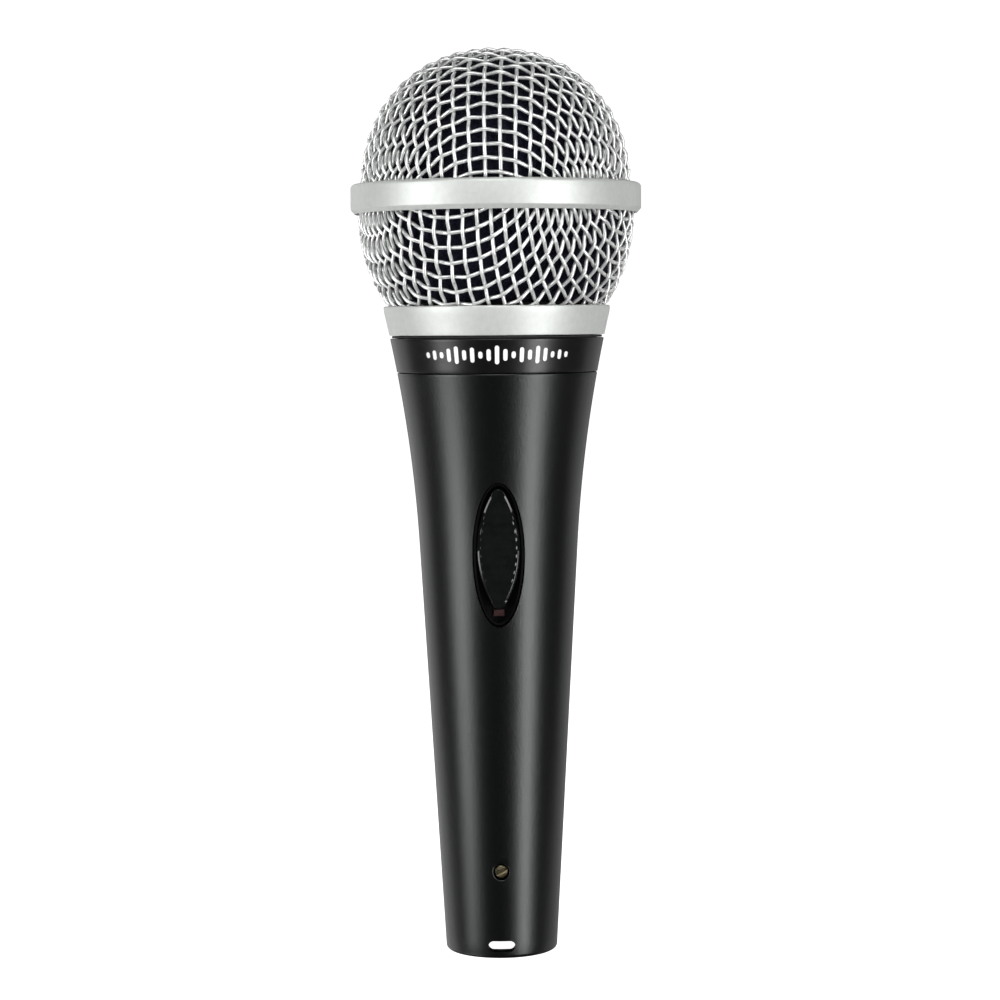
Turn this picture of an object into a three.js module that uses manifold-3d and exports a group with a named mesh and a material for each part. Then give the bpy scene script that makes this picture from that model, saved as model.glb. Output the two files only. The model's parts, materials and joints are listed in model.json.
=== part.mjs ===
// A handheld dynamic vocal microphone, standing on its connector end.
// Millimetres, +Z up. The origin is the centre of the open connector end, and the switch faces -Y.

import * as THREE from 'three';
import { mergeVertices } from 'three/addons/utils/BufferGeometryUtils.js';
import Module from 'manifold-3d';

const wasm = await Module();
wasm.setup();

// ---------------------------------------------------------------- driving dimensions

const BODY_SEGMENTS = 36;
const SMALL_SEGMENTS = 16;
const CURVE_SEGMENTS = 10;
const MERGE_DISTANCE = 1e-4;
const GAP = 0.3; // between pieces that rest on or in each other

// The handle is a straight taper that flares into the collar.
const END_RADIUS = 10.8;
const TAPER = 0.0573;
const FLARE_START = 79.6;
const FLARE_RATE = 0.00194;
const WALL = 2.2;
const SHOULDER_HEIGHT = 112.6;
const END_ROUND = 0.8;

// The connector socket in the lower end.
const SOCKET_RADIUS = 8.2;
const SOCKET_TOP = 24;
const SHELF_TOP = 26;
const SHELF_RADIUS = 7.2;
const INSERT_FACE = 12.5;
const PIN_RADIUS = 1.2;
const PIN_TIP = 2.6;
const PIN_TOP = 28.4;
const PIN_PLACES = [[-3.8, -1.6], [3.8, -1.6], [0, 4.1]];
const PIN_HOLE_RADIUS = PIN_RADIUS + 0.25;
const INSERT_SCREW_HEIGHT = 17;
const INSERT_SCREW_RADIUS = 1.25;
const LATCH_SLOT_HEIGHT = 2.4;
const LATCH_SLOT_WIDTH = 5.2;
const LATCH_SLOT_TALL = 2.1;

// The spigot that carries the name band and the grille's thread.
const SPIGOT_RADIUS = 17.95;
const SPIGOT_BORE = 15.2;
const SPIGOT_TOP = 125;
const THREAD_BOTTOM = 119.6;
const THREAD_ROOT = 17.2;
const THREAD_CREST = 18;
const THREAD_PITCH = 1.5;
const THREAD_CREST_HALF = 0.125;
const THREAD_FLANK = 0.375; // growth of the ridge's half width for each millimetre towards its root
const THREAD_EMBED = 0.3;
const THREAD_STEPS = 24; // in one turn
const THREAD_START = 120.4;
const BAND_BOTTOM = 112.9;
const BAND_TOP = 119.2;
const WASHER_BOTTOM = 119.3;
const WASHER_TOP = 119.7;
const COLLAR_BOTTOM = 119.8;
const COLLAR_TOP = 125.4;
const COLLAR_SEAT = 123.5;
const COLLAR_THREAD_ROOT = 18.3;
const COLLAR_THREAD_CREST = 17.5;
const COLLAR_LIP_RADIUS = 21.55;
const COLLAR_SEAT_RADIUS = 20.4;
const WASHER_RADIUS = 20.3;

// The ball: a wire bowl below the waist ring and a wire dome above it.
const MESH_THICKNESS = 1.5;
const BOWL_CENTRE = 143;
const BOWL_RADIUS = 26.7;
const BOWL_DEPTH = 29.2;
const BOWL_BOTTOM = 123.8;
const BOWL_SIDE_THICKNESS = 1.4;
const BOWL_FLOOR_THICKNESS = 1.2;
const DOME_CENTRE = 147.5;
const DOME_RADIUS = 26.2;
const DOME_RISE = 27.3;
const DOME_POWER = 2.15;
const RING_RADIUS = 28;
const RING_BOTTOM = 143.1;
const RING_TOP = 148.8;
const RING_WEB_LOW = 145.6;
const RING_WEB_HIGH = 146.1;
const RING_LOW_LIP = 26.95;
const RING_HIGH_LIP = 26.4;
const RING_WEB_RADIUS = 25;
const RING_GROOVE_RADIUS = 27.2;
const RING_GROOVE_LOW = 143.9;
const RING_GROOVE_HIGH = 147.7;
const RIM_FLANGE_RADIUS = 27;
const RIM_GAP = 0.2; // between the meshes' rims and the ring's web
const FOAM_THICKNESS = 2.2;
const FOAM_CAP_BOTTOM = 146.4;
const FOAM_SKIRT_BOTTOM = 126;
const FOAM_SKIRT_GAP = 0.6;

// The capsule and its rubber mount.
const CAPSULE_RADIUS = 13.2;
const CAPSULE_WALL = 1.2;
const CAPSULE_FLOOR = 1;
const CAPSULE_BOTTOM = 136;
const CAPSULE_TOP = 145.3;
const REAR_PORTS = { count: 6, circle: 9.6, radius: 1.1 };
const FRONT_PORTS = { count: 8, circle: 8.2, radius: 1.7 };
const FRONT_PORT_RADIUS = 2.6; // the middle hole
const CAP_RADIUS = 14;
const CAP_LID = 148.5;
const CAP_TOP = 150;
const CHAMBER_RADIUS = 12;
const CHAMBER_BOTTOM = 121;
const TERMINAL_PLACES = [-3, 3];
const DIAPHRAGM_RADIUS = 11.4;
const COIL_RADIUS = 6.2;
const FILM_THICKNESS = 0.3;
const YOKE_BOTTOM = 137.3;
const YOKE_TOP = 145.1;
const YOKE_FLOOR = 1.6;
const YOKE_RADIUS = 8.2;
const YOKE_WALL = 1.4;

// The switch, in a frame on the handle's surface: x across, y up along the handle, z outwards.
const SWITCH_HEIGHT = 78.25;
const SWITCH_RADIUS = 15.3;
const SWITCH_TILT = THREE.MathUtils.degToRad(3.9);
const POCKET_LENGTH = 27.7;
const POCKET_WIDTH = 10;
const POCKET_FLOOR = -2.6;
const MARK_PLACE = -11.4;
const SLIDER_REST = 1.1;
const SLIDER_TRAVEL = 2.5;
const SLIDER_HALF_WIDTH = 4.1;
const SLIDER_HALF_LENGTH = 11.45;
const SLIDER_TIP_RADIUS = 0.6;
const SLIDER_LOW = -1.9;
const SLIDER_HIGH = -0.35;
const SLIDER_BEVEL = 0.5;
const RIB_COUNT = 8;
const RIB_PITCH = 1.5;
const RIB_CENTRE = -0.8;
const FORK_PLACE = 1.35; // half the distance between the fork's two legs
const FORK_LEG = 0.8;
const STEM_CENTRE = SLIDER_REST - SLIDER_TRAVEL / 2;
const STEM_LENGTH = 2 * FORK_PLACE + FORK_LEG + SLIDER_TRAVEL + 1.2;
const FLANGE_TOP = -4;
const FLANGE_BOTTOM = -4.8;
const BOARD_TOP = -10.3;
const BOARD_THICKNESS = 1.2;
const POST_PLACE = 13.5;
const POST_RADIUS = 1.8;
const SWITCH_SCREW_RADIUS = 0.8;

const LEAD_RADIUS = 0.5;

// ---------------------------------------------------------------- materials

const finishes = {
  handlePaint: { color: 0x34383a, roughness: 0.38, metalness: 0.6 },
  bandGloss: { color: 0x101214, roughness: 0.12, metalness: 0.1 },
  satinSilver: { color: 0xc4c6c6, roughness: 0.34, metalness: 0.9 },
  meshWire: { color: 0xd0d0cc, roughness: 0.28, metalness: 0.95 },
  foam: { color: 0x0e0e18, roughness: 0.98, metalness: 0 },
  blackPlastic: { color: 0x121315, roughness: 0.4, metalness: 0 },
  sliderPlastic: { color: 0x18191b, roughness: 0.25, metalness: 0 },
  redMark: { color: 0xb81414, roughness: 0.5, metalness: 0 },
  rubber: { color: 0x1a1a1a, roughness: 0.85, metalness: 0 },
  brass: { color: 0xb09a62, roughness: 0.35, metalness: 1 },
  steel: { color: 0x9a9c9e, roughness: 0.35, metalness: 1 },
  magnet: { color: 0x55585c, roughness: 0.45, metalness: 0.9 },
  film: { color: 0xd8d6c8, roughness: 0.2, metalness: 0 },
  copper: { color: 0xb06a3a, roughness: 0.35, metalness: 1 },
  cloth: { color: 0x2a2a30, roughness: 0.95, metalness: 0 },
  board: { color: 0x1e5a36, roughness: 0.45, metalness: 0 },
  leadRed: { color: 0xa01c1c, roughness: 0.5, metalness: 0 },
  leadWhite: { color: 0xd8d8d4, roughness: 0.5, metalness: 0 },
  leadBlack: { color: 0x151515, roughness: 0.5, metalness: 0 },
};

// ---------------------------------------------------------------- shape helpers

// A closed geometry as a solid that can be joined and cut.
function solidFrom(geometry) {
  const bare = geometry.clone();
  bare.deleteAttribute('normal');
  bare.deleteAttribute('uv');
  const merged = mergeVertices(bare, MERGE_DISTANCE);
  const corners = merged.index.array;
  const kept = [];
  for (let i = 0; i < corners.length; i += 3) {
    const triangle = [corners[i], corners[i + 1], corners[i + 2]];
    if (new Set(triangle).size === 3) kept.push(...triangle);
  }
  const vertProperties = new Float32Array(merged.attributes.position.array);
  const triVerts = new Uint32Array(kept);
  return new wasm.Manifold(new wasm.Mesh({ numProp: 3, vertProperties, triVerts }));
}

function geometryFrom(solid) {
  const mesh = solid.getMesh();
  const geometry = new THREE.BufferGeometry();
  geometry.setAttribute('position', new THREE.BufferAttribute(mesh.vertProperties, 3));
  geometry.setIndex(new THREE.BufferAttribute(mesh.triVerts, 1));
  geometry.computeVertexNormals();
  return geometry;
}

function joined(first, ...others) {
  return geometryFrom(others.reduce((whole, other) => whole.add(solidFrom(other)), solidFrom(first)));
}

function cut(first, ...others) {
  return geometryFrom(others.reduce((whole, other) => whole.subtract(solidFrom(other)), solidFrom(first)));
}

// A profile of [radius, height] points turned about Z. It starts and ends on the axis, or it closes
// on itself.
function revolved(profile, segments = BODY_SEGMENTS) {
  const outline = profile.map(([radius, height]) => new THREE.Vector2(radius, height));
  if (THREE.ShapeUtils.area(outline) < 0) outline.reverse();
  if (outline[0].x > 0) outline.push(outline[0].clone());
  return new THREE.LatheGeometry(outline, segments).rotateX(Math.PI / 2);
}

function ring(inner, outer, low, high, segments) {
  return revolved([[inner, low], [outer, low], [outer, high], [inner, high]], segments);
}

function disc(radius, low, high, segments) {
  return revolved([[0, low], [radius, low], [radius, high], [0, high]], segments);
}

function extruded(shape, low, high) {
  const options = { depth: high - low, bevelEnabled: false, curveSegments: CURVE_SEGMENTS };
  return new THREE.ExtrudeGeometry(shape, options).translate(0, 0, low);
}

function block(width, length, low, high, x = 0, y = 0) {
  return new THREE.BoxGeometry(width, length, high - low).translate(x, y, (low + high) / 2);
}

// A round bar along Z, for pins, posts and drilled holes.
function bar(radius, low, high, x = 0, y = 0, segments = SMALL_SEGMENTS) {
  return disc(radius, low, high, segments).translate(x, y, 0);
}

// A round bar along Y at one height, for what goes in through the handle's front.
function radialBar(radius, nearY, farY, height, segments = SMALL_SEGMENTS) {
  return disc(radius, nearY, farY, segments).rotateX(-Math.PI / 2).translate(0, 0, height);
}

function ovalShape(length, width) {
  return new THREE.Shape().absellipse(0, 0, width / 2, length / 2, 0, Math.PI * 2);
}

function stadiumShape(width, height) {
  const end = height / 2;
  const reach = width / 2 - end;
  const shape = new THREE.Shape();
  shape.absarc(reach, 0, end, -Math.PI / 2, Math.PI / 2);
  shape.absarc(-reach, 0, end, Math.PI / 2, Math.PI * 1.5);
  return shape;
}

// Two long arcs that meet in rounded tips on the y axis.
function lensShape(halfWidth, halfLength, tipRadius) {
  const tipCentre = halfLength - tipRadius;
  const sideRadius = (halfWidth ** 2 - tipRadius ** 2 + tipCentre ** 2) / (2 * (halfWidth - tipRadius));
  const sideCentre = sideRadius - halfWidth;
  const turn = Math.atan2(tipCentre, sideCentre);
  const shape = new THREE.Shape();
  shape.absarc(-sideCentre, 0, sideRadius, -turn, turn);
  shape.absarc(0, tipCentre, tipRadius, turn, Math.PI - turn);
  shape.absarc(sideCentre, 0, sideRadius, Math.PI - turn, Math.PI + turn);
  shape.absarc(0, -tipCentre, tipRadius, Math.PI + turn, Math.PI * 2 - turn);
  return shape;
}

// A quarter of a superellipse as [radius, height] points, from its widest circle to the axis.
function domeCurve(radius, rise, power, centre, steps) {
  return Array.from({ length: steps + 1 }, (_, i) => {
    const turn = (Math.PI / 2) * (i / steps);
    const out = i === steps ? 0 : radius * Math.cos(turn) ** (2 / power);
    return [out, centre + rise * Math.sin(turn) ** (2 / power)];
  });
}

// The lower part of an ellipse as [radius, height] points, from a stated height up to its widest
// circle.
function bowlCurve(radius, depth, bottom, steps) {
  const lowest = Math.asin((BOWL_CENTRE - bottom) / depth);
  return Array.from({ length: steps + 1 }, (_, i) => {
    const turn = lowest * (1 - i / steps);
    return [radius * Math.cos(turn), BOWL_CENTRE - depth * Math.sin(turn)];
  });
}

function bodyRadius(height) {
  const flare = Math.max(0, height - FLARE_START);
  return END_RADIUS + TAPER * height + FLARE_RATE * flare ** 2;
}

// A right-hand thread ridge: a trapezoid swept along a helix about Z.
function threadRidge(baseRadius, crestRadius, startTurn, endTurn, startHeight) {
  const baseHalf = THREAD_CREST_HALF + THREAD_FLANK * Math.abs(crestRadius - baseRadius);
  const section = new THREE.Shape([
    new THREE.Vector2(baseRadius, -baseHalf),
    new THREE.Vector2(baseRadius, baseHalf),
    new THREE.Vector2(crestRadius, THREAD_CREST_HALF),
    new THREE.Vector2(crestRadius, -THREAD_CREST_HALF),
  ]);
  const turns = endTurn - startTurn;
  const steps = Math.round(turns * THREAD_STEPS);
  const geometry = new THREE.ExtrudeGeometry(section, { depth: turns, steps, bevelEnabled: false });
  const place = geometry.attributes.position;
  for (let i = 0; i < place.count; i += 1) {
    const radius = place.getX(i);
    const turn = startTurn + place.getZ(i);
    const angle = turn * Math.PI * 2;
    const height = startHeight + THREAD_PITCH * turn - place.getY(i);
    place.setXYZ(i, radius * Math.cos(angle), radius * Math.sin(angle), height);
  }
  return geometry;
}

// An insulated lead: a round tube through points chosen by hand.
function lead(points, steps = 12) {
  const route = new THREE.CatmullRomCurve3(points.map((point) => new THREE.Vector3(...point)));
  const section = new THREE.Shape().absarc(0, 0, LEAD_RADIUS, 0, Math.PI * 2);
  return new THREE.ExtrudeGeometry(section, { extrudePath: route, steps, curveSegments: 3 });
}

const microphone = new THREE.Group();
const switchFrame = new THREE.Group();
switchFrame.position.set(0, -SWITCH_RADIUS, SWITCH_HEIGHT);
switchFrame.rotation.x = Math.PI / 2 + SWITCH_TILT;
switchFrame.updateMatrix();
microphone.add(switchFrame);

function addNode(name, geometry, finish, frame = microphone) {
  const mesh = new THREE.Mesh(geometry, new THREE.MeshStandardMaterial(finishes[finish]));
  mesh.name = name;
  frame.add(mesh);
}

// ---------------------------------------------------------------- handle

function handleShell() {
  const flareHeights = [84, 91, 98, 105, SHOULDER_HEIGHT - 0.3];
  const narrowHeight = 100.5;
  const roundLow = END_ROUND * (1 - Math.SQRT1_2);
  const body = revolved([
    [SOCKET_RADIUS + 0.4, 0],
    [END_RADIUS - END_ROUND, 0],
    [END_RADIUS - roundLow, roundLow],
    [bodyRadius(END_ROUND), END_ROUND],
    [bodyRadius(FLARE_START), FLARE_START],
    ...flareHeights.map((height) => [bodyRadius(height), height]),
    [bodyRadius(SHOULDER_HEIGHT) - 0.3, SHOULDER_HEIGHT],
    [SPIGOT_RADIUS, SHOULDER_HEIGHT],
    [SPIGOT_RADIUS, THREAD_BOTTOM],
    [THREAD_ROOT, THREAD_BOTTOM],
    [THREAD_ROOT, SPIGOT_TOP],
    [SPIGOT_BORE, SPIGOT_TOP],
    [SPIGOT_BORE, narrowHeight],
    [bodyRadius(91) - WALL, 91],
    [bodyRadius(FLARE_START) - WALL, FLARE_START],
    [bodyRadius(SHELF_TOP) - WALL, SHELF_TOP],
    [SHELF_RADIUS, SHELF_TOP],
    [SHELF_RADIUS, SOCKET_TOP],
    [SOCKET_RADIUS, SOCKET_TOP],
    [SOCKET_RADIUS, 0.4],
  ]);
  const ridge = threadRidge(THREAD_ROOT - THREAD_EMBED, THREAD_CREST, 0, 2.67, THREAD_START);
  const pocket = extruded(ovalShape(POCKET_LENGTH, POCKET_WIDTH), -6, 6).applyMatrix4(switchFrame.matrix);
  const screwHole = radialBar(INSERT_SCREW_RADIUS + 0.35, -14, -SOCKET_RADIUS + 1, INSERT_SCREW_HEIGHT);
  const latchSlot = extruded(stadiumShape(LATCH_SLOT_WIDTH, LATCH_SLOT_TALL), 6, 14)
    .rotateX(Math.PI / 2)
    .translate(0, 0, LATCH_SLOT_HEIGHT);
  return cut(joined(body, ridge), pocket, screwHole, latchSlot);
}

function nameBand() {
  const inner = SPIGOT_RADIUS + GAP;
  return revolved([
    [inner, BAND_BOTTOM],
    [bodyRadius(BAND_BOTTOM) - 0.2, BAND_BOTTOM],
    [bodyRadius(BAND_BOTTOM + 0.2), BAND_BOTTOM + 0.2],
    [bodyRadius(116), 116],
    [bodyRadius(BAND_TOP - 0.2), BAND_TOP - 0.2],
    [bodyRadius(BAND_TOP) - 0.2, BAND_TOP],
    [inner, BAND_TOP],
  ]);
}

addNode('handle_shell', handleShell(), 'handlePaint');
addNode('name_band', nameBand(), 'bandGloss');

// ---------------------------------------------------------------- grille head

function grilleCollar() {
  const topRadius = bodyRadius(COLLAR_TOP) - 0.15;
  const body = revolved([
    [COLLAR_THREAD_ROOT, COLLAR_BOTTOM],
    [bodyRadius(COLLAR_BOTTOM) - 0.2, COLLAR_BOTTOM],
    [bodyRadius(COLLAR_BOTTOM + 0.2), COLLAR_BOTTOM + 0.2],
    [bodyRadius(122.6), 122.6],
    [topRadius, COLLAR_TOP - 0.3],
    [topRadius - 0.2, COLLAR_TOP],
    [COLLAR_LIP_RADIUS, COLLAR_TOP],
    [COLLAR_SEAT_RADIUS, COLLAR_SEAT],
    [COLLAR_THREAD_ROOT, COLLAR_SEAT],
  ]);
  const ridgeStart = THREAD_START - THREAD_PITCH / 2;
  const ridgeBase = COLLAR_THREAD_ROOT + THREAD_EMBED;
  return joined(body, threadRidge(ridgeBase, COLLAR_THREAD_CREST, 0.4, 2.25, ridgeStart));
}

function lowerMesh() {
  const inner = BOWL_RADIUS - BOWL_SIDE_THICKNESS;
  const rim = RING_WEB_LOW - RIM_GAP;
  const flangeBottom = rim - 1.2;
  return revolved([
    ...bowlCurve(BOWL_RADIUS, BOWL_DEPTH, BOWL_BOTTOM, 6),
    [BOWL_RADIUS, flangeBottom],
    [RIM_FLANGE_RADIUS, flangeBottom],
    [RIM_FLANGE_RADIUS, rim],
    [inner, rim],
    ...bowlCurve(inner, BOWL_DEPTH - BOWL_FLOOR_THICKNESS, BOWL_BOTTOM, 5).reverse(),
  ]);
}

function waistRing() {
  return revolved([
    [RING_LOW_LIP, RING_BOTTOM],
    [RING_RADIUS - 0.7, RING_BOTTOM],
    [RING_RADIUS - 0.2, RING_BOTTOM + 0.3],
    [RING_RADIUS, RING_BOTTOM + 0.9],
    [RING_RADIUS, RING_TOP - 0.9],
    [RING_RADIUS - 0.25, RING_TOP - 0.3],
    [RING_RADIUS - 0.9, RING_TOP],
    [RING_HIGH_LIP, RING_TOP],
    [RING_HIGH_LIP, RING_GROOVE_HIGH],
    [RING_GROOVE_RADIUS, RING_GROOVE_HIGH],
    [RING_GROOVE_RADIUS, RING_WEB_HIGH],
    [RING_WEB_RADIUS, RING_WEB_HIGH],
    [RING_WEB_RADIUS, RING_WEB_LOW],
    [RING_GROOVE_RADIUS, RING_WEB_LOW],
    [RING_GROOVE_RADIUS, RING_GROOVE_LOW],
    [RING_LOW_LIP, RING_GROOVE_LOW],
  ]);
}

function upperMesh() {
  const inner = DOME_RADIUS - MESH_THICKNESS;
  const outerCurve = domeCurve(DOME_RADIUS, DOME_RISE, DOME_POWER, DOME_CENTRE, 8);
  const innerCurve = domeCurve(inner, DOME_RISE - MESH_THICKNESS, DOME_POWER, DOME_CENTRE, 7);
  return revolved([
    ...innerCurve.reverse(),
    [inner, RING_WEB_HIGH + RIM_GAP],
    [RIM_FLANGE_RADIUS, RING_WEB_HIGH + RIM_GAP],
    [RIM_FLANGE_RADIUS, RING_GROOVE_HIGH - GAP],
    ...outerCurve,
  ]);
}

function foamCap() {
  const outer = DOME_RADIUS - MESH_THICKNESS - GAP;
  const rise = DOME_RISE - MESH_THICKNESS - GAP;
  const inner = outer - FOAM_THICKNESS;
  const outerCurve = domeCurve(outer, rise, DOME_POWER, DOME_CENTRE, 6);
  const innerCurve = domeCurve(inner, rise - FOAM_THICKNESS, DOME_POWER, DOME_CENTRE, 5);
  return revolved([
    ...innerCurve.reverse(),
    [inner, FOAM_CAP_BOTTOM],
    [outer, FOAM_CAP_BOTTOM],
    ...outerCurve,
  ], 24);
}

function foamSkirt() {
  const outer = BOWL_RADIUS - MESH_THICKNESS - FOAM_SKIRT_GAP;
  const depth = BOWL_DEPTH - MESH_THICKNESS - FOAM_SKIRT_GAP;
  const outerCurve = bowlCurve(outer, depth, FOAM_SKIRT_BOTTOM, 4);
  const innerCurve = bowlCurve(outer - FOAM_THICKNESS, depth, FOAM_SKIRT_BOTTOM, 4);
  return revolved([
    ...outerCurve,
    [outer, RING_WEB_LOW],
    [outer - FOAM_THICKNESS, RING_WEB_LOW],
    ...innerCurve.reverse(),
  ], 24);
}

addNode('grille_washer', ring(THREAD_CREST + 0.25, WASHER_RADIUS, WASHER_BOTTOM, WASHER_TOP), 'rubber');
addNode('grille_collar', grilleCollar(), 'satinSilver');
addNode('lower_mesh', lowerMesh(), 'meshWire');
addNode('waist_ring', waistRing(), 'satinSilver');
addNode('upper_mesh', upperMesh(), 'meshWire');
addNode('foam_cap', foamCap(), 'foam');
addNode('foam_skirt', foamSkirt(), 'foam');

// ---------------------------------------------------------------- capsule on its rubber mount

function shockMount() {
  const bore = CHAMBER_RADIUS + GAP;
  return revolved([
    [bore, CHAMBER_BOTTOM],
    [SPIGOT_BORE - GAP, CHAMBER_BOTTOM],
    [SPIGOT_BORE - GAP, SPIGOT_TOP + GAP],
    [THREAD_ROOT - 0.4, SPIGOT_TOP + GAP],
    [THREAD_ROOT - 0.4, SPIGOT_TOP + 2],
    [14.4, SPIGOT_TOP + 2.2],
    [13.6, CAPSULE_BOTTOM - GAP],
    [bore, CAPSULE_BOTTOM - GAP],
  ], 24);
}

// A ring of round bars that cuts a ring of ports.
function portBars({ count, circle, radius }, low, high) {
  return Array.from({ length: count }, (_, i) => {
    const angle = (i / count) * Math.PI * 2;
    return bar(radius, low, high, circle * Math.cos(angle), circle * Math.sin(angle), 10);
  });
}

function capsuleBody() {
  const cup = revolved([
    [0, CAPSULE_BOTTOM],
    [CAPSULE_RADIUS, CAPSULE_BOTTOM],
    [CAPSULE_RADIUS, CAPSULE_TOP],
    [CAPSULE_RADIUS - CAPSULE_WALL, CAPSULE_TOP],
    [CAPSULE_RADIUS - CAPSULE_WALL, CAPSULE_BOTTOM + CAPSULE_FLOOR],
    [0, CAPSULE_BOTTOM + CAPSULE_FLOOR],
  ], 24);
  return cut(cup, ...portBars(REAR_PORTS, CAPSULE_BOTTOM - 1, CAPSULE_BOTTOM + 2));
}

function frontCap() {
  const inner = CAP_RADIUS - 0.6;
  const low = CAPSULE_TOP + 0.1;
  const cap = revolved([
    [0, CAP_LID],
    [inner, CAP_LID],
    [inner, low],
    [CAP_RADIUS, low],
    [CAP_RADIUS, CAP_TOP - 0.4],
    [CAP_RADIUS - 0.4, CAP_TOP],
    [0, CAP_TOP],
  ], 24);
  const middle = bar(FRONT_PORT_RADIUS, CAP_LID - 1, CAP_TOP + 1, 0, 0, 12);
  return cut(cap, middle, ...portBars(FRONT_PORTS, CAP_LID - 1, CAP_TOP + 1));
}

function magnetYoke() {
  const floor = YOKE_BOTTOM + YOKE_FLOOR;
  return revolved([
    [0, YOKE_BOTTOM],
    [YOKE_RADIUS, YOKE_BOTTOM],
    [YOKE_RADIUS, YOKE_TOP],
    [YOKE_RADIUS - YOKE_WALL, YOKE_TOP],
    [YOKE_RADIUS - YOKE_WALL, floor],
    [0, floor],
  ], SMALL_SEGMENTS);
}

// The dome over the coil, the flat hinge and the roll that lets it move.
function diaphragmFilm() {
  const surface = [[0, 147.1], [3.4, 146.9], [COIL_RADIUS, 146.1], [8.8, 146.9], [DIAPHRAGM_RADIUS, 146.4]];
  const underside = surface.map(([radius, height]) => [radius, height - FILM_THICKNESS]);
  return revolved([...underside, ...surface.reverse()], 24);
}

function terminal(x) {
  return revolved([[0, 116.4], [0.6, 116.4], [0.6, 118.4], [1.4, 118.4], [1.4, 119.1], [0, 119.1]], 10)
    .translate(x, 0, 0);
}

addNode('shock_mount', shockMount(), 'rubber');
addNode('capsule_body', capsuleBody(), 'blackPlastic');
addNode('front_cap', frontCap(), 'steel');
addNode('felt_disc', ring(3, 11, 147.75, 148.3, SMALL_SEGMENTS), 'cloth');
addNode('diaphragm_ring', ring(11.7, 13, 145.5, 147.6, 24), 'brass');
addNode('diaphragm', diaphragmFilm(), 'film');
addNode('voice_coil', ring(COIL_RADIUS - 0.6, COIL_RADIUS, 141.4, 145.6, SMALL_SEGMENTS), 'copper');
addNode('pole_piece', disc(5.1, 143.6, YOKE_TOP, SMALL_SEGMENTS), 'steel');
addNode('magnet', disc(4.8, 139.2, 143.3, SMALL_SEGMENTS), 'magnet');
addNode('magnet_yoke', magnetYoke(), 'steel');
addNode('rear_port_cloth', ring(CAPSULE_RADIUS + 0.2, 13.9, 138, 143, 24), 'cloth');
addNode('rear_chamber', revolved([
  [0, CHAMBER_BOTTOM],
  [CHAMBER_RADIUS, CHAMBER_BOTTOM],
  [CHAMBER_RADIUS, CAPSULE_BOTTOM - 0.2],
  [CHAMBER_RADIUS - 1, CAPSULE_BOTTOM - 0.2],
  [CHAMBER_RADIUS - 1, CHAMBER_BOTTOM + 1.2],
  [0, CHAMBER_BOTTOM + 1.2],
], 24), 'blackPlastic');
addNode('terminal_board', disc(8, 119.4, 120.7, SMALL_SEGMENTS), 'board');
TERMINAL_PLACES.forEach((x, i) => addNode(`capsule_terminal_${i + 1}`, terminal(x), 'brass'));

// ---------------------------------------------------------------- switch

function switchBezel() {
  const rimTop = -1;
  const tray = extruded(ovalShape(POCKET_LENGTH - 0.5, POCKET_WIDTH - 0.5), FLANGE_BOTTOM, rimTop);
  const well = extruded(ovalShape(POCKET_LENGTH - 1.3, POCKET_WIDTH - 1.3), POCKET_FLOOR, rimTop + 1);
  const flange = block(12, 32, FLANGE_BOTTOM, FLANGE_TOP);
  const stemSlot = block(2.6, STEM_LENGTH, FLANGE_BOTTOM - 1, 0, 0, STEM_CENTRE);
  const places = [-POST_PLACE, POST_PLACE];
  const posts = places.map((y) => bar(POST_RADIUS, BOARD_TOP + GAP, FLANGE_TOP - 0.2, 0, y, 12));
  const boreRadius = SWITCH_SCREW_RADIUS + 0.25;
  const screwBores = places.map((y) => bar(boreRadius, BOARD_TOP - 1, -6.2, 0, y, 10));
  return cut(joined(tray, flange, ...posts), well, stemSlot, ...screwBores);
}

function switchSlider() {
  const halfWidth = SLIDER_HALF_WIDTH - SLIDER_BEVEL;
  const halfLength = SLIDER_HALF_LENGTH - SLIDER_BEVEL;
  const options = {
    depth: SLIDER_HIGH - SLIDER_LOW - 2 * SLIDER_BEVEL,
    curveSegments: CURVE_SEGMENTS,
    bevelThickness: SLIDER_BEVEL,
    bevelSize: SLIDER_BEVEL,
    bevelSegments: 1,
  };
  const cap = new THREE.ExtrudeGeometry(lensShape(halfWidth, halfLength, SLIDER_TIP_RADIUS), options)
    .translate(0, 0, SLIDER_LOW + SLIDER_BEVEL);
  const ribs = Array.from({ length: RIB_COUNT }, (_, i) => {
    const y = (i - (RIB_COUNT - 1) / 2) * RIB_PITCH + RIB_CENTRE;
    return block(5.2, 0.6, -1, -0.05, 0, y);
  });
  const forkLegs = [-FORK_PLACE, FORK_PLACE].map((y) => block(1.8, FORK_LEG, -4.6, SLIDER_LOW + 0.3, 0, y));
  return joined(cap, ...ribs, ...forkLegs).translate(0, SLIDER_REST, 0);
}

function switchBody() {
  const can = block(5.6, 11, BOARD_TOP + GAP, FLANGE_BOTTOM - 0.4, 0, STEM_CENTRE);
  return cut(can, block(2.8, 6.8, -8.8, FLANGE_BOTTOM, 0, STEM_CENTRE));
}

function switchBoard() {
  const holes = [-POST_PLACE, POST_PLACE].map((y) => bar(1.1, -14, -8, 0, y, 10));
  return cut(block(11, 30, BOARD_TOP - BOARD_THICKNESS, BOARD_TOP), ...holes);
}

function switchScrew(y) {
  const headRadius = 1.6;
  const head = BOARD_TOP - BOARD_THICKNESS - GAP;
  const screw = revolved([
    [0, head - 0.9],
    [headRadius, head - 0.9],
    [headRadius, head],
    [SWITCH_SCREW_RADIUS, head],
    [SWITCH_SCREW_RADIUS, -7],
    [0, -7],
  ], 12);
  return cut(screw, block(4, 0.5, head - 1.5, head - 0.5)).translate(0, y, 0);
}

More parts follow.
